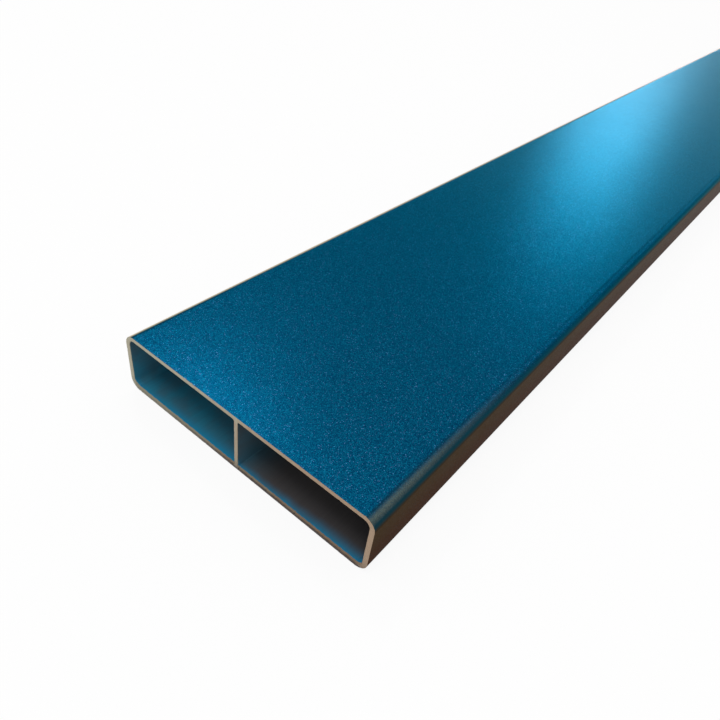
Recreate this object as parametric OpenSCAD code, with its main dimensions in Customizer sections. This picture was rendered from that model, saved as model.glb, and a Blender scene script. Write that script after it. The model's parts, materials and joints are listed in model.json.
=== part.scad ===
// Flat aluminium box profile with a centre web, sawn square to a stock length.
// X runs across the broad faces, Y along the stock and Z up, all in millimetres.
// The origin is the centre of the underside, halfway along the length.

/* [Section] */
// Width across the broad faces
profile_w = 90; // [60:1:140]
// Height from one broad face to the other
profile_h = 20; // [14:0.5:40]
// Thickness of the four outer walls
wall_t = 1.5; // [1:0.1:2.5]
// Outside radius of the four long edges
edge_r = 3.5; // [3:0.1:6]

/* [Web] */
// Thickness of the web that parts the two chambers
web_t = 1.3; // [0.8:0.1:3]
// Radius of the fillets where the web runs into the broad walls
web_fillet_r = 0.5; // [0.2:0.1:2]

/* [Stock] */
// Length between the two sawn ends
stock_l = 1000; // [100:10:6000]

/* [Hidden] */
// The inside corners share their centres with the outside ones, so the wall turns at one thickness
inner_edge_r = edge_r - wall_t;
chamber_w = (profile_w - web_t) / 2 - wall_t;
chamber_h = profile_h - 2 * wall_t;
finish_colour = [0, 0.36, 0.55];
$fn = 64;

// Rectangle with its lower left corner at the origin and one radius for the corners at each end
module rounded_rectangle(w, h, left_r, right_r) {
    translate([left_r, 0]) square([w - left_r - right_r, h]);
    translate([0, left_r]) square([w / 2, h - 2 * left_r]);
    translate([w / 2, right_r]) square([w / 2, h - 2 * right_r]);
    for (y = [left_r, h - left_r]) translate([left_r, y]) circle(left_r);
    for (y = [right_r, h - right_r]) translate([w - right_r, y]) circle(right_r);
}

// One chamber to the right of the web: filleted at the web, concentric with the long edges outside
module chamber_outline() {
    translate([web_t / 2, wall_t])
        rounded_rectangle(chamber_w, chamber_h, web_fillet_r, inner_edge_r);
}

// The section as the die gives it: the outer box less a mirrored pair of chambers
module section_outline() {
    difference() {
        translate([-profile_w / 2, 0]) rounded_rectangle(profile_w, profile_h, edge_r, edge_r);
        chamber_outline();
        mirror([1, 0]) chamber_outline();
    }
}

// The stock itself: the section drawn along the length and cut square at both ends
module profile() {
    color(finish_colour)
        rotate([90, 0, 0])
            linear_extrude(height = stock_l, center = true) section_outline();
}

profile();
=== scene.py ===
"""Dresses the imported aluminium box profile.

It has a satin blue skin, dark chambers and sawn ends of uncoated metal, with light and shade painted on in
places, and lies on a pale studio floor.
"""

import json
import logging
import math
from dataclasses import dataclass, field
from enum import IntEnum

import bmesh
import bpy
import numpy as np
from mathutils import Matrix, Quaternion, Vector


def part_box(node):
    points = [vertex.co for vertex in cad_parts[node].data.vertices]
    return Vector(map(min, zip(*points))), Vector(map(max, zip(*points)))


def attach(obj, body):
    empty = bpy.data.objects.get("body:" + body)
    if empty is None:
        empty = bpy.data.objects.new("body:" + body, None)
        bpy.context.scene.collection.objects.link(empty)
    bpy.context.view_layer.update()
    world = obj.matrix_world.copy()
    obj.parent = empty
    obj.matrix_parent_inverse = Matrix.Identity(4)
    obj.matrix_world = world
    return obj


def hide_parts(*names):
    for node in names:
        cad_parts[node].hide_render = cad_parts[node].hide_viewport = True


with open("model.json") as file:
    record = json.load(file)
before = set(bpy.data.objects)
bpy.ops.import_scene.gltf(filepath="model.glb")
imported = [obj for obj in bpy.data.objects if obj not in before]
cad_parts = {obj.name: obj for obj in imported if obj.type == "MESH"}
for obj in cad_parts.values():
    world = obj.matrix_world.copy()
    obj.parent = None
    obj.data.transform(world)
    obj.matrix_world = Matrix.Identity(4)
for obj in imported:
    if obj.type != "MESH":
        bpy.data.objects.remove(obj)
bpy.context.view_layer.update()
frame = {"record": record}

Colour = tuple[float, float, float]
Span = tuple[float, float]
Socket = bpy.types.NodeSocket

MM = 0.001
QUARTER_TURN = 0.5 * math.pi
WHITE: Colour = (1.0, 1.0, 1.0)
PHOTO_SIDE_PX = 720
LOG = logging.getLogger("profile_scene")


class Surface(IntEnum):
    """Which finish a face of the profile takes, as its material index."""

    SKIN = 0
    CHAMBER = 1
    SAWN = 2


def lengths(shares: Span, size: float) -> Span:
    """Turns two shares of a size into lengths."""
    return shares[0] * size, shares[1] * size


class ShaderGraph:
    """A material or world node tree with short calls for the nodes that the finishes use."""

    def __init__(self, tree: bpy.types.NodeTree) -> None:
        """Empties the tree, ready for new nodes."""
        self.tree = tree
        self.tree.nodes.clear()

    def node(self, kind: str, **settings: object) -> bpy.types.Node:
        """Adds a node.

        Args:
            kind: Blender's name for the node type.
            settings: Properties of the node to set.

        Returns:
            The new node.
        """
        made = self.tree.nodes.new(kind)
        for name, value in settings.items():
            setattr(made, name, value)
        return made

    def put(self, value: object, socket: Socket) -> None:
        """Links a socket's value, or sets a constant, into an input.

        Args:
            value: An output socket, a number or a colour.
            socket: The input that takes it.
        """
        if isinstance(value, bpy.types.NodeSocket):
            self.tree.links.new(value, socket)
        elif isinstance(value, (int, float)):
            socket.default_value = value
        elif len(socket.default_value) == len(value) + 1:
            socket.default_value = (*value, 1.0)
        else:
            socket.default_value = tuple(value)

    def place(self) -> tuple[Socket, Socket, Socket, Socket]:
        """Reads the place on the object, in metres.

        Returns:
            The whole vector, and then its parts across, along and up.
        """
        whole = self.node("ShaderNodeTexCoord").outputs["Object"]
        split = self.node("ShaderNodeSeparateXYZ")
        self.put(whole, split.inputs[0])
        return whole, split.outputs["X"], split.outputs["Y"], split.outputs["Z"]

    def math(self, operation: str, *values: object, clamp: bool = False) -> Socket:
        """Adds a Math node.

        Args:
            operation: The Math node's operation.
            values: Its inputs, sockets or numbers.
            clamp: Whether the result stays within 0 and 1.

        Returns:
            The result's socket.
        """
        made = self.node("ShaderNodeMath", operation=operation, use_clamp=clamp)
        for value, socket in zip(values, made.inputs):
            self.put(value, socket)
        return made.outputs[0]

    def times(self, first: object, second: object) -> Socket:
        """Multiplies two sockets, or a socket and a number."""
        return self.math("MULTIPLY", first, second)

    def vector(self, operation: str, *values: object) -> Socket:
        """Adds a Vector Math node.

        Args:
            operation: The Vector Math node's operation.
            values: Its inputs, sockets, vectors or, last, a scale.

        Returns:
            The resulting vector's socket.
        """
        made = self.node("ShaderNodeVectorMath", operation=operation)
        sockets = [made.inputs[0], made.inputs["Scale"]] if operation == "SCALE" else made.inputs
        for value, socket in zip(values, sockets):
            self.put(value, socket)
        return made.outputs[0]

    def rise(self, value: object, span: Span) -> Socket:
        """Makes a smooth rise from 0 to 1.

        Args:
            value: What the rise follows.
            span: The value that gives 0 and the value that gives 1, either of them the larger.

        Returns:
            The socket of the rise.
        """
        upward = span[0] < span[1]
        made = self.node("ShaderNodeMapRange", interpolation_type="SMOOTHSTEP")
        self.put(value, made.inputs["Value"])
        self.put(min(span), made.inputs["From Min"])
        self.put(max(span), made.inputs["From Max"])
        self.put(0.0 if upward else 1.0, made.inputs["To Min"])
        self.put(1.0 if upward else 0.0, made.inputs["To Max"])
        return made.outputs["Result"]

    def rise_deg(self, angle: Socket, span: Span) -> Socket:
        """Makes a smooth rise over a span of angles that is given in degrees."""
        return self.rise(angle, (math.radians(span[0]), math.radians(span[1])))

    def band_deg(self, angle: Socket, start: Span, end: Span) -> Socket:
        """Makes a band of angles with a smooth start and end, both given in degrees."""
        return self.times(self.rise_deg(angle, start), self.rise_deg(angle, end))

    def spread(self, value: Socket, span: Span) -> Socket:
        """Maps 0 to 1 onto a span.

        Args:
            value: A socket that runs from 0 to 1.
            span: What 0 becomes and what 1 becomes.

        Returns:
            The mapped socket.
        """
        made = self.node("ShaderNodeMapRange")
        self.put(value, made.inputs["Value"])
        self.put(span[0], made.inputs["To Min"])
        self.put(span[1], made.inputs["To Max"])
        return made.outputs["Result"]

    def around(self, value: Socket, middle: float, depth: float) -> Socket:
        """Maps 0 to 1 onto a middle value less and plus a depth."""
        return self.spread(value, (middle - depth, middle + depth))

    def mix(self, share: object, first: object, second: object) -> Socket:
        """Mixes two colours.

        Args:
            share: How much of the second colour shows.
            first: The colour at a share of 0.
            second: The colour at a share of 1.

        Returns:
            The mixed colour's socket.
        """
        made = self.node("ShaderNodeMix", data_type="RGBA")
        self.put(share, made.inputs[0])
        self.put(first, made.inputs[6])
        self.put(second, made.inputs[7])
        return made.outputs[2]

    def scaled(self, colour: object, factor: Socket) -> Socket:
        """Multiplies a colour by a factor."""
        return self.vector("SCALE", colour, factor)

    def noise_node(self, place: Socket, grain: float, detail: float = 2.0) -> bpy.types.Node:
        """Adds a noise pattern.

        Args:
            place: The coordinates that it follows, in metres.
            grain: The size of its blotches, in metres.
            detail: How many finer layers it has.

        Returns:
            The noise node, whose outputs are about 0.5 on average.
        """
        made = self.node("ShaderNodeTexNoise")
        self.put(place, made.inputs["Vector"])
        self.put(1.0 / grain, made.inputs["Scale"])
        self.put(detail, made.inputs["Detail"])
        return made

    def noise(self, place: Socket, grain: float, detail: float = 2.0) -> Socket:
        """Adds a noise pattern and gives its plain output."""
        return self.noise_node(place, grain, detail).outputs["Fac"]

    def stretched(self, place: Socket, stretch: tuple[float, float, float]) -> Socket:
        """Scales coordinates along each axis, which draws a pattern out along the small ones."""
        return self.vector("MULTIPLY", place, stretch)


def new_material(name: str) -> tuple[bpy.types.Material, ShaderGraph, bpy.types.Node]:
    """Makes a material that holds one Principled shader.

    Args:
        name: The material's name.

    Returns:
        The material, its graph and the shader node.
    """
    material = bpy.data.materials.new(name)
    material.use_nodes = True
    graph = ShaderGraph(material.node_tree)
    shader = graph.node("ShaderNodeBsdfPrincipled")
    output = graph.node("ShaderNodeOutputMaterial")
    graph.put(shader.outputs["BSDF"], output.inputs["Surface"])
    return material, graph, shader


@dataclass(frozen=True)
class SkinPatterns:
    """The places and patterns that the skin's tones are made from, as sockets.

    The lean is how far a long edge has turned from a broad face, 0, towards a narrow side, a right angle.
    """

    across: Socket
    height: Socket
    lean: Socket
    near_end: Socket
    fleck_way: Socket
    patch_chance: Socket
    sparkle_chance: Socket
    glints: Socket
    swell: Socket
    swell_way: Socket
    cloud: Socket


@dataclass(frozen=True)
class SkinFinish:
    """Blasted blue metal, with painted light on the long edges and narrow sides: highlights, dark bands, a
    beige reflection and a brown reflection.

    Each field that ends in lean gives the lean, in degrees, where its tone is absent and where it is full.
    """

    deep_blue: Colour = (0.0, 0.0454, 0.122)
    glint: Colour = (0.004, 0.235, 0.402)
    sparkle: Colour = (0.18, 0.42, 0.9)
    # Painted shade: the slate is a dark band on the lower part of each edge radius, and greys the long
    # edges near the sawn ends.
    slate: Colour = (0.012, 0.045, 0.062)
    # Painted reflection: the narrow sides carry the reflection of a brown surface, darker towards the
    # bottom.
    upper_brown_reflection: Colour = (0.047, 0.024, 0.006)
    lower_brown_reflection: Colour = (0.043, 0.0115, 0.0005)
    # Painted highlight: a patchy grey band on the long edges near the sawn ends.
    grey_highlight: Colour = (0.16, 0.205, 0.175)
    # Painted reflection: a beige band along the upper left long edge.
    beige_reflection: Colour = (0.6, 0.43, 0.215)
    blue_glance: Colour = (0.48, 0.88, 1.0)
    slate_glance: Colour = (0.35, 0.6, 0.66)
    roughness: float = 0.31
    roughness_depth: float = 0.02
    specular: float = 0.002
    fleck: float = 0.13 * MM
    fleck_tilt: float = 0.08
    glint_rarity: float = 4.0
    sparkle_from: float = 0.98
    peel: float = 0.9 * MM
    peel_tilt: float = 0.06
    peel_depth: float = 0.2
    cloud: float = 14 * MM
    cloud_depth: float = 0.05
    cloud_detail: float = 3.0
    brown_heights: Span = (0.2, 0.8)
    brown_glints: Span = (0.94, 1.3)
    edge_highlight_gain: float = 1.4
    edge_shade_share: float = 0.5
    edge_shade_depth: float = 0.74
    near_end_length: float = 100 * MM
    grey_highlight_fade: float = 2.0
    grey_highlight_patches: Span = (0.3, 1.0)
    beige_shift: float = math.radians(6)
    edge_highlight_lean: Span = (8, 22)
    edge_highlight_end_lean: Span = (44, 26)
    slate_lean: Span = (24, 66)
    edge_shade_lean: Span = (-2, 12)
    side_lean: Span = (60, 90)
    grey_highlight_lean: Span = (10, 32)
    grey_highlight_end_lean: Span = (58, 34)
    beige_lean: Span = (5, 22)
    beige_end_lean: Span = (46, 30)
    slate_glance_lean: Span = (20, 45)
    metal_lean: Span = (80, 50)

    def build(self, profile: "BoxProfile") -> bpy.types.Material:
        """Makes the skin's material.

        Args:
            profile: The profile whose sizes place the colours.

        Returns:
            The finished material.
        """
        material, graph, shader = new_material("satin_skin")
        seen = self.patterns(graph, profile)
        # Painted shade: near the sawn ends the long edges turn greyer and darker.
        edge_shade = graph.times(graph.rise_deg(seen.lean, self.edge_shade_lean), seen.near_end)
        beige_share = self.beige_edge_reflection(graph, seen, profile)

        # Painted shade: a dark slate band on the lower part of each edge radius.
        skin = graph.mix(graph.rise_deg(seen.lean, self.slate_lean), self.face(graph, seen), self.slate)
        skin = graph.mix(graph.times(edge_shade, self.edge_shade_share), skin, self.slate)
        skin = graph.scaled(skin, graph.spread(edge_shade, (1.0, self.edge_shade_depth)))
        # Painted reflection of a brown surface on the narrow sides, darker towards the bottom.
        side = self.side(graph, seen, profile)
        skin = graph.mix(graph.rise_deg(seen.lean, self.side_lean), skin, side)
        # Painted highlight: a patchy grey band on the long edges near the sawn ends.
        skin = graph.mix(self.grey_highlight_share(graph, seen), skin, self.grey_highlight)
        # Painted reflection: a beige band along the upper left long edge, which also turns the glance
        # white.
        skin = graph.mix(beige_share, skin, self.beige_reflection)

        to_slate = graph.rise_deg(seen.lean, self.slate_glance_lean)
        glance = graph.mix(to_slate, self.blue_glance, self.slate_glance)
        glance = graph.mix(beige_share, glance, WHITE)
        roughness = graph.around(seen.cloud, self.roughness, self.roughness_depth)
        graph.put(skin, shader.inputs["Base Color"])
        graph.put(glance, shader.inputs["Specular Tint"])
        graph.put(graph.rise_deg(seen.lean, self.metal_lean), shader.inputs["Metallic"])
        graph.put(roughness, shader.inputs["Roughness"])
        graph.put(self.tilted_normal(graph, seen), shader.inputs["Normal"])
        graph.put(self.specular, shader.inputs["Specular IOR Level"])
        return material

    def patterns(self, graph: ShaderGraph, profile: "BoxProfile") -> SkinPatterns:
        """Sets up the places and patterns of the skin.

        Args:
            graph: The material's graph.
            profile: The profile whose sizes they follow.

        Returns:
            Their sockets.
        """
        place, across, along, height = graph.place()
        flecks = graph.node("ShaderNodeTexVoronoi")
        graph.put(place, flecks.inputs["Vector"])
        graph.put(1.0 / self.fleck, flecks.inputs["Scale"])
        chance = graph.node("ShaderNodeSeparateColor")
        graph.put(flecks.outputs["Color"], chance.inputs[0])
        swell = graph.noise_node(place, self.peel)
        return SkinPatterns(
            across=across,
            height=height,
            lean=self.lean(graph, across, profile),
            near_end=self.near_end(graph, along, profile),
            fleck_way=flecks.outputs["Color"],
            patch_chance=chance.outputs["Red"],
            sparkle_chance=chance.outputs["Green"],
            glints=graph.math("POWER", chance.outputs["Blue"], self.glint_rarity),
            swell=swell.outputs["Fac"],
            swell_way=swell.outputs["Color"],
            cloud=graph.noise(place, self.cloud, self.cloud_detail),
        )

    def lean(self, graph: ShaderGraph, across: Socket, profile: "BoxProfile") -> Socket:
        """Works out how far a long edge has turned towards a narrow side.

        Args:
            graph: The material's graph.
            across: The place across the profile.
            profile: The profile whose long edges are rounded.

        Returns:
            The socket of the angle, in radians.
        """
        flat_half = profile.width / 2 - profile.edge_r
        past = graph.math("SUBTRACT", graph.math("ABSOLUTE", across), flat_half)
        return graph.math("ARCSINE", graph.math("DIVIDE", past, profile.edge_r, clamp=True))

    def near_end(self, graph: ShaderGraph, along: Socket, profile: "BoxProfile") -> Socket:
        """Works out how near a place is to a sawn end.

        Args:
            graph: The material's graph.
            along: The place along the profile.
            profile: The profile whose sawn ends it measures from.

        Returns:
            The socket of the nearness, 1 at the end and 0 past the near-end length.
        """
        from_end = graph.math("SUBTRACT", profile.length / 2, graph.math("ABSOLUTE", along))
        return graph.rise(from_end, (self.near_end_length, 0.0))

    def face(self, graph: ShaderGraph, seen: SkinPatterns) -> Socket:
        """Makes the blue of the broad faces, with glints, soft swells and a painted highlight along the
        start of each long edge.

        Args:
            graph: The material's graph.
            seen: The skin's places and patterns.

        Returns:
            The colour's socket.
        """
        sparkles = graph.rise(seen.sparkle_chance, (self.sparkle_from, 1.0))
        # Painted highlight: a lighter line along the start of each long edge.
        edge_highlight = graph.band_deg(seen.lean, self.edge_highlight_lean, self.edge_highlight_end_lean)
        face = graph.mix(seen.glints, self.deep_blue, self.glint)
        face = graph.mix(sparkles, face, self.sparkle)
        face = graph.scaled(face, graph.around(seen.cloud, 1.0, self.cloud_depth))
        face = graph.scaled(face, graph.around(seen.swell, 1.0, self.peel_depth))
        return graph.scaled(face, graph.spread(edge_highlight, (1.0, self.edge_highlight_gain)))

    def side(self, graph: ShaderGraph, seen: SkinPatterns, profile: "BoxProfile") -> Socket:
        """Paints the reflection of a brown surface on the narrow sides, darker towards the bottom.

        Args:
            graph: The material's graph.
            seen: The skin's places and patterns.
            profile: The profile whose height the brown follows.

        Returns:
            The colour's socket.
        """
        upper = graph.rise(seen.height, lengths(self.brown_heights, profile.height))
        brown = graph.mix(upper, self.lower_brown_reflection, self.upper_brown_reflection)
        return graph.scaled(brown, graph.spread(seen.glints, self.brown_glints))

    def grey_highlight_share(self, graph: ShaderGraph, seen: SkinPatterns) -> Socket:
        """Works out where a painted grey highlight lies in patches on the long edges near the sawn ends.

        Args:
            graph: The material's graph.
            seen: The skin's places and patterns.

        Returns:
            The socket of the highlight's share.
        """
        end_share = graph.math("POWER", seen.near_end, self.grey_highlight_fade)
        band = graph.band_deg(seen.lean, self.grey_highlight_lean, self.grey_highlight_end_lean)
        patches = graph.spread(seen.patch_chance, self.grey_highlight_patches)
        return graph.math("MULTIPLY", graph.times(end_share, band), patches, clamp=True)

    def beige_edge_reflection(self, graph: ShaderGraph, seen: SkinPatterns, profile: "BoxProfile") -> Socket:
        """Works out where a painted beige reflection lies along the upper left long edge.

        Args:
            graph: The material's graph.
            seen: The skin's places and patterns.
            profile: The profile whose edge takes the reflection.

        Returns:
            The socket of the reflection's share.
        """
        shifted = graph.math("SUBTRACT", seen.lean, graph.spread(seen.near_end, (0.0, self.beige_shift)))
        start = graph.rise_deg(shifted, self.beige_lean)
        band = graph.times(start, graph.rise_deg(seen.lean, self.beige_end_lean))
        left = graph.math("LESS_THAN", seen.across, 0.0)
        upper = graph.math("GREATER_THAN", seen.height, profile.height / 2)
        return graph.times(band, graph.times(left, upper))

    def tilted_normal(self, graph: ShaderGraph, seen: SkinPatterns) -> Socket:
        """Tilts the surface a little, another way on each fleck and each swell of the blasted metal.

        Args:
            graph: The material's graph.
            seen: The skin's places and patterns, whose ways hold three numbers about 0.5 each.

        Returns:
            The socket of the tilted normal.
        """
        normal = graph.node("ShaderNodeNewGeometry").outputs["Normal"]
        for way, amount in ((seen.fleck_way, self.fleck_tilt), (seen.swell_way, self.peel_tilt)):
            tilt = graph.vector("SUBTRACT", way, (0.5, 0.5, 0.5))
            normal = graph.vector("ADD", normal, graph.vector("SCALE", tilt, amount))
        return graph.vector("NORMALIZE", normal)


@dataclass(frozen=True)
class ChamberFinish:
    """The metal inside: dark, with painted teal light low in the left chamber and a painted pool of blue
    light along the lower lips.
    """

    # Painted light: the teal stands for light in the left chamber, in patches and strongest low down.
    teal: Colour = (0.03, 0.255, 0.385)
    slate: Colour = (0.094, 0.088, 0.09)
    # Painted light: a pool of blue light on the floor just inside each mouth.
    lip_light_blue: Colour = (0.002, 0.3, 0.56)
    roughness: float = 0.4
    roughness_depth: float = 0.06
    metallic: float = 0.3
    die_line: float = 0.7 * MM
    die_line_stretch: tuple[float, float, float] = (1.0, 0.01, 1.0)
    die_line_detail: float = 3.0
    die_line_depth: float = 0.05
    light_patch: float = 5 * MM
    light_patch_stretch: tuple[float, float, float] = (1.0, 0.7, 1.0)
    contrast: Span = (0.3, 0.7)
    teal_widths: Span = (0.13, -0.12)
    teal_light_patches: Span = (0.65, 1.0)
    teal_heights: Span = (0.48, 1.0)
    lip_rise: float = 3.2 * MM
    lip_fray: float = 0.8 * MM
    lip_reach: Span = (2.4 * MM, 5.12 * MM)
    lip_fade: float = 1.7

    def build(self, profile: "BoxProfile") -> bpy.types.Material:
        """Makes the chambers' material.

        Args:
            profile: The profile whose sizes place the colours.

        Returns:
            The finished material.
        """
        material, graph, shader = new_material("chamber_metal")
        place, across, along, height = graph.place()
        drawn = graph.stretched(place, self.die_line_stretch)
        lines = graph.noise(drawn, self.die_line, self.die_line_detail)
        light_patches = graph.noise(graph.stretched(place, self.light_patch_stretch), self.light_patch)

        # Painted light: teal in the left chamber, in patches and strongest low down.
        mottle = graph.spread(graph.rise(light_patches, self.contrast), self.teal_light_patches)
        below = graph.spread(graph.rise(height, (profile.height, 0.0)), self.teal_heights)
        teal = graph.rise(across, lengths(self.teal_widths, profile.width))
        teal = graph.times(graph.times(teal, mottle), below)
        colour = graph.mix(teal, self.slate, self.teal)
        streaks = graph.around(graph.rise(lines, self.contrast), 1.0, self.die_line_depth)
        colour = graph.scaled(colour, streaks)
        # Painted light: a pool of blue light on the floor just inside each mouth.
        lip = self.lit_lower_lip(graph, (across, along, height), light_patches, profile)
        colour = graph.mix(lip, colour, self.lip_light_blue)

        roughness = graph.around(lines, self.roughness, self.roughness_depth)
        graph.put(colour, shader.inputs["Base Color"])
        graph.put(roughness, shader.inputs["Roughness"])
        graph.put(self.metallic, shader.inputs["Metallic"])
        return material

    def lit_lower_lip(self, graph: ShaderGraph, place: tuple[Socket, Socket, Socket], light_patches: Socket,
                  profile: "BoxProfile") -> Socket:
        """Works out where a painted pool of blue light runs in over the lower lip of a mouth, further in
        towards its right.

        Args:
            graph: The material's graph.
            place: The place across, along and up the profile.
            light_patches: The noise that frays the inner border.
            profile: The profile whose mouths take the blue.

        Returns:
            The socket of the blue share.
        """
        across, along, height = place
        rightward = graph.math("FRACT", graph.math("DIVIDE", across, profile.width / 2))
        inside = graph.math("SUBTRACT", profile.length / 2, graph.math("ABSOLUTE", along))
        inside = graph.math("ADD", inside, graph.around(light_patches, 0.0, self.lip_fray))
        reach = graph.spread(rightward, self.lip_reach)
        depth = graph.math("SUBTRACT", 1.0, graph.math("DIVIDE", inside, reach), clamp=True)
        low = graph.rise(height, (profile.wall + self.lip_rise, profile.wall))
        return graph.times(graph.math("POWER", depth, self.lip_fade), low)


@dataclass(frozen=True)
class SawnFinish:
    """Uncoated metal where the saw went through: upright tooth marks, darker towards the bottom, and a
    painted contact shadow as a dark line along the lower lip.
    """

    pale: Colour = (0.385, 0.355, 0.255)
    tan: Colour = (0.36, 0.245, 0.155)
    # Painted shadow: a dark line along the lower lip where the profile meets the floor.
    contact_shadow: Colour = (0.03, 0.014, 0.009)
    roughness: float = 0.48
    roughness_depth: float = 0.08
    metallic: float = 0.35
    tooth_mark: float = 0.22 * MM
    tooth_mark_stretch: tuple[float, float, float] = (1.0, 1.0, 0.06)
    mark_depth: float = 0.012 * MM
    mark_shade: float = 0.14
    blotch: float = 3 * MM
    blotch_shift: float = 0.5
    tan_widths: Span = (-0.35, 0.35)
    dark_widths: Span = (-0.5, 0.1)
    darkening_walls: Span = (4.0, 0.5)
    darkening_shares: Span = (0.24, 0.42)
    contact_shadow_heights: Span = (1.32 * MM, 0.88 * MM)
    contact_shadow_shares: Span = (0.3, 1.0)

    def build(self, profile: "BoxProfile") -> bpy.types.Material:
        """Makes the sawn ends' material.

        Args:
            profile: The profile whose width and height the tones follow.

        Returns:
            The finished material.
        """
        material, graph, shader = new_material("sawn_metal")
        place, across, _, height = graph.place()
        marks = graph.noise(graph.stretched(place, self.tooth_mark_stretch), self.tooth_mark)
        blotches = graph.around(graph.noise(place, self.blotch), 0.0, self.blotch_shift)
        drift = graph.math("ADD", graph.math("DIVIDE", across, profile.width), blotches)
        colour = graph.mix(graph.rise(drift, self.tan_widths), self.pale, self.tan)
        colour = graph.scaled(colour, graph.around(marks, 1.0, self.mark_shade))

        rightward = graph.rise(across, lengths(self.dark_widths, profile.width))
        # Darker towards the bottom of the sawn face, more so towards the right.
        lower_darkening = graph.rise(height, lengths(self.darkening_walls, profile.wall))
        lower_darkening = graph.times(lower_darkening, graph.spread(rightward, self.darkening_shares))
        colour = graph.scaled(colour, graph.math("SUBTRACT", 1.0, lower_darkening))
        # Painted contact shadow: a dark line along the lower lip, strongest towards the right.
        contact_shadow = graph.rise(height, self.contact_shadow_heights)
        contact_shadow = graph.times(contact_shadow, graph.spread(rightward, self.contact_shadow_shares))
        colour = graph.mix(contact_shadow, colour, self.contact_shadow)

        bump = graph.node("ShaderNodeBump")
        graph.put(self.mark_depth, bump.inputs["Distance"])
        graph.put(marks, bump.inputs["Height"])
        roughness = graph.around(marks, self.roughness, self.roughness_depth)
        graph.put(colour, shader.inputs["Base Color"])
        graph.put(bump.outputs["Normal"], shader.inputs["Normal"])
        graph.put(roughness, shader.inputs["Roughness"])
        graph.put(self.metallic, shader.inputs["Metallic"])
        return material


@dataclass
class Outline:
    """A closed loop of section points with the way out of the metal at each, both as (x, z) rows."""

    points: np.ndarray
    outward: np.ndarray


def rounded_outline(low: Span, high: Span, radii: Span, step: float, arc_step: float) -> Outline:
    """Draws a rectangle with rounded corners, counter-clockwise from its lower left corner.

    Args:
        low: Its lower left corner, before rounding.
        high: Its upper right corner, before rounding.
        radii: The corner radius on the left and on the right.
        step: The longest piece of a straight side.
        arc_step: The longest angle of a piece of a corner.

    Returns:
        The outline, with its outward normals.
    """
    left_r, right_r = radii
    corners = [
        ((low[0] + left_r, low[1] + left_r), left_r, 2 * QUARTER_TURN),
        ((high[0] - right_r, low[1] + right_r), right_r, 3 * QUARTER_TURN),
        ((high[0] - right_r, high[1] - right_r), right_r, 0.0),
        ((low[0] + left_r, high[1] - left_r), left_r, QUARTER_TURN),
    ]
    turns = max(2, math.ceil(QUARTER_TURN / arc_step))
    points: list[Span] = []
    outward: list[Span] = []
    for index, (centre, radius, start) in enumerate(corners):
        for k in range(turns + 1):
            angle = start + QUARTER_TURN * k / turns
            way = (math.cos(angle), math.sin(angle))
            points.append((centre[0] + radius * way[0], centre[1] + radius * way[1]))
            outward.append(way)
        next_centre, next_radius, next_start = corners[(index + 1) % len(corners)]
        way = (math.cos(next_start), math.sin(next_start))
        end = (next_centre[0] + next_radius * way[0], next_centre[1] + next_radius * way[1])
        here = points[-1]
        pieces = max(1, math.ceil(math.dist(here, end) / step))
        for k in range(1, pieces):
            share = k / pieces
            points.append((here[0] + (end[0] - here[0]) * share, here[1] + (end[1] - here[1]) * share))
            outward.append(way)
    return Outline(np.array(points), np.array(outward))


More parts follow.
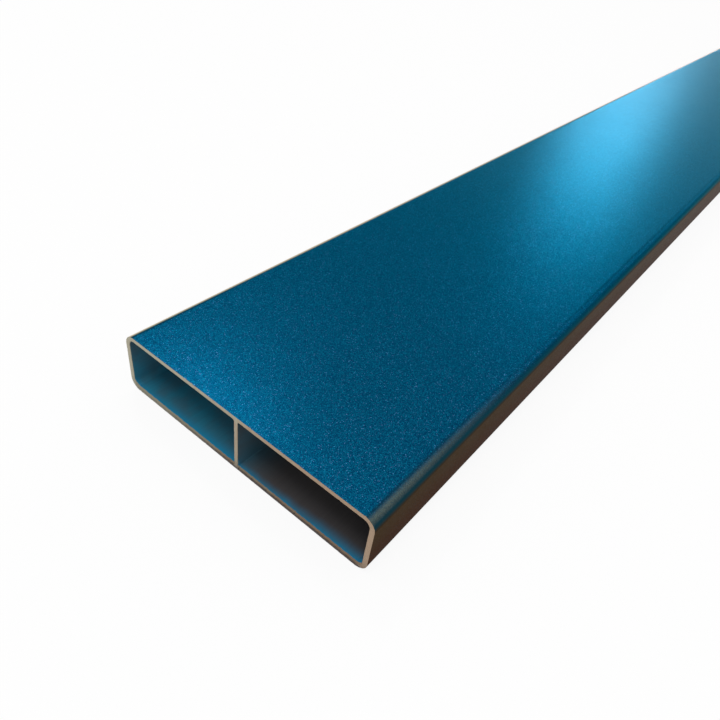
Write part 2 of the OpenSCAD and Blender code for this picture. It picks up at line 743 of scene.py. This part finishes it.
@dataclass
class BoxProfile:
    """The extruded stock: one closed mesh with a two-chamber section and square sawn ends.

    The lips are the plain breaks of a sawn edge where its wall faces down, sideways and up.
    """

    width: float
    height: float
    length: float
    wall: float = 1.5 * MM
    web: float = 1.3 * MM
    edge_r: float = 3.5 * MM
    web_fillet_r: float = 0.5 * MM
    lip_step: float = 0.4 * MM
    arc_step: float = math.radians(5)
    chamber_arc_step: float = math.radians(10)
    outer_lips: tuple[float, float, float] = (0.25 * MM, 0.06 * MM, 0.06 * MM)
    chamber_lips: tuple[float, float, float] = (0.3 * MM, 0.15 * MM, 0.5 * MM)
    lip_wobble: float = 0.15
    nick_depths: Span = (0.03 * MM, 0.15 * MM)
    nick_share: float = 0.03
    ring_count: int = 9
    sharp_edge: float = math.radians(24)
    seed: int = 11
    piece: bpy.types.Object | None = field(default=None, init=False)

    @classmethod
    def from_frame(cls, node: str) -> "BoxProfile":
        """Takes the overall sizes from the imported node.

        Args:
            node: The CAD node's name.

        Returns:
            A profile of that size.
        """
        low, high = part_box(node)
        size = high - low
        return cls(width=size.x, height=size.z, length=size.y)

    def outer_outline(self) -> Outline:
        """Draws the outside of the section.

        Returns:
            The section's outer outline.
        """
        half = self.width / 2
        radii = (self.edge_r, self.edge_r)
        return rounded_outline((-half, 0.0), (half, self.height), radii, self.lip_step, self.arc_step)

    def chamber_outline(self, side: int) -> Outline:
        """Draws the inside of one chamber, with its normals turned to point out of the metal.

        Args:
            side: 1 for the chamber at +X, -1 for the one at -X.

        Returns:
            The chamber's outline.
        """
        inner_r = self.edge_r - self.wall
        near, far = self.web / 2, self.width / 2 - self.wall
        low_x, high_x = (near, far) if side > 0 else (-far, -near)
        low, high = (low_x, self.wall), (high_x, self.height - self.wall)
        radii = (self.web_fillet_r, inner_r) if side > 0 else (inner_r, self.web_fillet_r)
        drawn = rounded_outline(low, high, radii, self.lip_step, self.chamber_arc_step)
        return Outline(drawn.points, -drawn.outward)

    def lip_depths(self, outline: Outline, lips: tuple[float, float, float],
                   chance: np.random.Generator) -> np.ndarray:
        """Works out how far the sawn edge is broken at each point of an outline.

        Args:
            outline: The outline whose sawn edge it is.
            lips: The plain edge break where the wall faces down, sideways and up.
            chance: The source of the nicks.

        Returns:
            A depth for each point, mostly the plain edge break with a few nicks.
        """
        count = len(outline.points)
        plain = np.interp(outline.outward[:, 1], (-1.0, 0.0, 1.0), lips)
        depths = plain * chance.uniform(1.0 - self.lip_wobble, 1.0 + self.lip_wobble, count)
        nicks = chance.random(count) < self.nick_share
        depths[nicks] += chance.uniform(*self.nick_depths, int(nicks.sum()))
        return depths

    def add_tube(self, mesh: bmesh.types.BMesh, outline: Outline, surface: Surface,
                 lips: tuple[float, float, float],
                 chance: np.random.Generator) -> list[list[bmesh.types.BMVert]]:
        """Adds the wall along one outline, with a broken edge at each sawn end.

        Args:
            mesh: The mesh that grows.
            outline: The section's outline.
            surface: The finish of the wall.
            lips: How far its sawn edges are broken where it faces down, sideways and up.
            chance: The source of the nicks.

        Returns:
            The loops of vertices on the two sawn planes.
        """
        count = len(outline.points)
        half = self.length / 2
        near, far = (self.lip_depths(outline, lips, chance) for _ in range(2))
        inset_near = outline.points - outline.outward * near[:, None]
        inset_far = outline.points - outline.outward * far[:, None]
        stations = np.linspace(-half, half, self.ring_count + 2)[1:-1]
        rings = [(inset_near, np.full(count, -half)), (outline.points, -half + near)]
        rings += [(outline.points, np.full(count, y)) for y in stations]
        rings += [(outline.points, half - far), (inset_far, np.full(count, half))]
        loops = [[mesh.verts.new((p[0], y, p[1])) for p, y in zip(points, ys)] for points, ys in rings]
        last = len(loops) - 2
        for level, (first, second) in enumerate(zip(loops, loops[1:])):
            for k in range(count):
                after = (k + 1) % count
                face = mesh.faces.new((first[k], first[after], second[after], second[k]))
                face.material_index = Surface.SAWN if level in (0, last) else surface
        return [loops[0], loops[-1]]

    def close_end(self, mesh: bmesh.types.BMesh, loops: list[list[bmesh.types.BMVert]]) -> None:
        """Fills a sawn plane between the outside and the two chambers.

        Args:
            mesh: The mesh that grows.
            loops: The loops of vertices on that plane.
        """
        edges = [mesh.edges.get((loop[k - 1], loop[k])) for loop in loops for k in range(len(loop))]
        filled = bmesh.ops.triangle_fill(mesh, edges=edges, use_beauty=True)
        for face in filled["geom"]:
            if isinstance(face, bmesh.types.BMFace):
                face.material_index = Surface.SAWN

    def build(self) -> bpy.types.Object:
        """Makes the closed mesh.

        Returns:
            The profile's object.
        """
        chance = np.random.default_rng(self.seed)
        mesh = bmesh.new()
        tubes = [self.add_tube(mesh, self.outer_outline(), Surface.SKIN, self.outer_lips, chance)]
        for side in (-1, 1):
            outline = self.chamber_outline(side)
            tubes.append(self.add_tube(mesh, outline, Surface.CHAMBER, self.chamber_lips, chance))
        for end in range(2):
            self.close_end(mesh, [tube[end] for tube in tubes])
        bmesh.ops.recalc_face_normals(mesh, faces=mesh.faces)
        for face in mesh.faces:
            face.smooth = True
        for edge in mesh.edges:
            edge.smooth = edge.calc_face_angle(0.0) < self.sharp_edge
        data = bpy.data.meshes.new("box_profile")
        mesh.to_mesh(data)
        mesh.free()
        self.piece = bpy.data.objects.new("box_profile", data)
        bpy.context.scene.collection.objects.link(self.piece)
        return self.piece

    def dress(self, node: str, slot: str) -> None:
        """Gives the mesh its finishes and its place in the frame.

        Args:
            node: The CAD node that it stands for.
            slot: The record's material slot; not used.
        """
        for finish in (SkinFinish(), ChamberFinish(), SawnFinish()):
            self.piece.data.materials.append(finish.build(self))
        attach(self.piece, "root")
        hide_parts(node)


@dataclass(frozen=True)
class Lamp:
    """A square soft lamp, placed by its bearing and elevation, in degrees, from the point that it faces."""

    name: str
    bearing: float
    elevation: float
    distance: float
    side: float
    watts: float
    tint: Colour = WHITE

    def build(self, target: Vector) -> bpy.types.Object:
        """Hangs the lamp.

        Args:
            target: The point that it faces.

        Returns:
            The lamp's object.
        """
        bearing, elevation = math.radians(self.bearing), math.radians(self.elevation)
        level = math.cos(elevation)
        way = Vector((math.sin(bearing) * level, math.cos(bearing) * level, math.sin(elevation)))
        data = bpy.data.lights.new(self.name, "AREA")
        data.size = self.side
        data.energy = self.watts
        data.color = self.tint
        lamp = bpy.data.objects.new(self.name, data)
        lamp.location = target + way * self.distance
        lamp.rotation_mode = "QUATERNION"
        lamp.rotation_quaternion = way.to_track_quat("Z", "Y")
        lamp.visible_camera = False
        bpy.context.scene.collection.objects.link(lamp)
        return lamp


@dataclass
class Studio:
    """A pale floor under a soft dome, with a few lamps.

    Each stop of the dome is a height above the horizon, as a sine, and the brightness there.
    """

    floor_side: float = 60.0
    floor_drop: float = 0.1 * MM
    floor_colour: Colour = (0.9, 0.9, 0.9)
    floor_white: float = 0.9
    lamps: tuple[Lamp, ...] = (
        Lamp("far_window", bearing=-14.3, elevation=16.5, distance=4.0, side=0.45, watts=8.9,
             tint=(1.0, 0.64, 0.66)),
        Lamp("upper_softbox", bearing=-58, elevation=52, distance=2.0, side=0.25, watts=3.4),
        Lamp("ceiling_lamp", bearing=170, elevation=75, distance=1.5, side=0.5, watts=6),
    )
    dome: tuple[Span, ...] = (
        (0.0, 0.9), (0.2, 0.6), (0.35, 0.48), (0.5, 0.54),
        (0.62, 0.65), (0.75, 0.72), (0.92, 0.9), (1.0, 0.95),
    )

    def build(self, target: Vector) -> None:
        """Builds the floor, the dome and the lamps.

        Args:
            target: The point that the lamps face.
        """
        self.build_floor()
        self.build_dome()
        for lamp in self.lamps:
            lamp.build(target)

    def build_floor(self) -> bpy.types.Object:
        """Lays the floor just under the profile.

        Returns:
            The floor's object.
        """
        half = self.floor_side / 2
        corners = [(-half, -half, 0), (half, -half, 0), (half, half, 0), (-half, half, 0)]
        data = bpy.data.meshes.new("studio_floor")
        data.from_pydata(corners, [], [(0, 1, 2, 3)])
        floor = bpy.data.objects.new("studio_floor", data)
        floor.location.z = -self.floor_drop
        bpy.context.scene.collection.objects.link(floor)
        data.materials.append(self.floor_material())
        return floor

    def floor_material(self) -> bpy.types.Material:
        """Makes a pale floor that shows near white and keeps the profile's shadow.

        Returns:
            The floor's material.
        """
        material = bpy.data.materials.new("pale_floor")
        material.use_nodes = True
        graph = ShaderGraph(material.node_tree)
        paint = graph.node("ShaderNodeBsdfDiffuse")
        graph.put(self.floor_colour, paint.inputs["Color"])
        glow = graph.node("ShaderNodeEmission")
        path = graph.node("ShaderNodeLightPath")
        seen = graph.math("MAXIMUM", path.outputs["Is Camera Ray"], path.outputs["Is Glossy Ray"])
        seen = graph.math("MAXIMUM", seen, path.outputs["Is Transmission Ray"])
        blend = graph.node("ShaderNodeMixShader")
        graph.put(graph.times(seen, self.floor_white), blend.inputs["Fac"])
        graph.put(paint.outputs["BSDF"], blend.inputs[1])
        graph.put(glow.outputs["Emission"], blend.inputs[2])
        output = graph.node("ShaderNodeOutputMaterial")
        graph.put(blend.outputs["Shader"], output.inputs["Surface"])
        return material

    def build_dome(self) -> None:
        """Lights the scene with a soft dome whose brightness follows the height above the horizon."""
        world = bpy.data.worlds.new("studio_dome")
        bpy.context.scene.world = world
        world.use_nodes = True
        graph = ShaderGraph(world.node_tree)
        split = graph.node("ShaderNodeSeparateXYZ")
        graph.put(graph.node("ShaderNodeTexCoord").outputs["Generated"], split.inputs[0])
        ramp = graph.node("ShaderNodeValToRGB")
        graph.put(split.outputs["Z"], ramp.inputs["Fac"])
        stops = ramp.color_ramp.elements
        given = len(stops)
        for index, (position, level) in enumerate(self.dome):
            stop = stops[index] if index < given else stops.new(position)
            stop.position = position
            stop.color = (level, level, level, 1.0)
        back = graph.node("ShaderNodeBackground")
        graph.put(ramp.outputs["Color"], back.inputs["Color"])
        output = graph.node("ShaderNodeOutputWorld")
        graph.put(back.outputs["Background"], output.inputs["Surface"])


@dataclass
class PhotoCamera:
    """The photograph's viewpoint, measured from the near sawn end and the profile's centre line."""

    to_the_right: float = 81.35 * MM
    before_the_end: float = 72.78 * MM
    above_the_floor: float = 134.49 * MM
    aim_to_the_right: float = 7.53 * MM
    aim_past_the_end: float = 40.1 * MM
    roll: float = math.radians(9.31)
    focal_px: float = 622.1
    sensor_mm: float = 36.0
    clip_start: float = 1 * MM

    def build(self, profile: BoxProfile) -> bpy.types.Object:
        """Sets up the camera.

        Args:
            profile: The profile that it looks at.

        Returns:
            The camera's object.
        """
        end = -profile.length / 2
        place = Vector((self.to_the_right, end - self.before_the_end, self.above_the_floor))
        aim = Vector((self.aim_to_the_right, end + self.aim_past_the_end, profile.height))
        facing = (aim - place).to_track_quat("-Z", "Y")
        data = bpy.data.cameras.new("photo_camera")
        data.sensor_width = self.sensor_mm
        data.lens = self.sensor_mm * self.focal_px / PHOTO_SIDE_PX
        data.clip_start = self.clip_start
        camera = bpy.data.objects.new("photo_camera", data)
        camera.location = place
        camera.rotation_mode = "QUATERNION"
        camera.rotation_quaternion = facing @ Quaternion((0, 0, 1), self.roll)
        bpy.context.scene.collection.objects.link(camera)
        bpy.context.scene.camera = camera
        return camera


def main() -> None:
    """Builds the profile, its studio and its camera, and logs each piece."""
    logging.basicConfig(level=logging.INFO, format="%(name)s: %(message)s")
    bpy.context.scene.view_settings.view_transform = "Standard"
    profile = BoxProfile.from_frame("profile")
    piece = profile.build()
    profile.dress("profile", frame["record"]["materials"][0]["slot"])
    LOG.info("%s: %d faces", piece.name, len(piece.data.polygons))
    Studio().build(Vector((0.0, -profile.length / 2, profile.height)))
    LOG.info("studio built")
    PhotoCamera().build(profile)
    LOG.info("camera set")


if __name__ == "__main__":
    main()
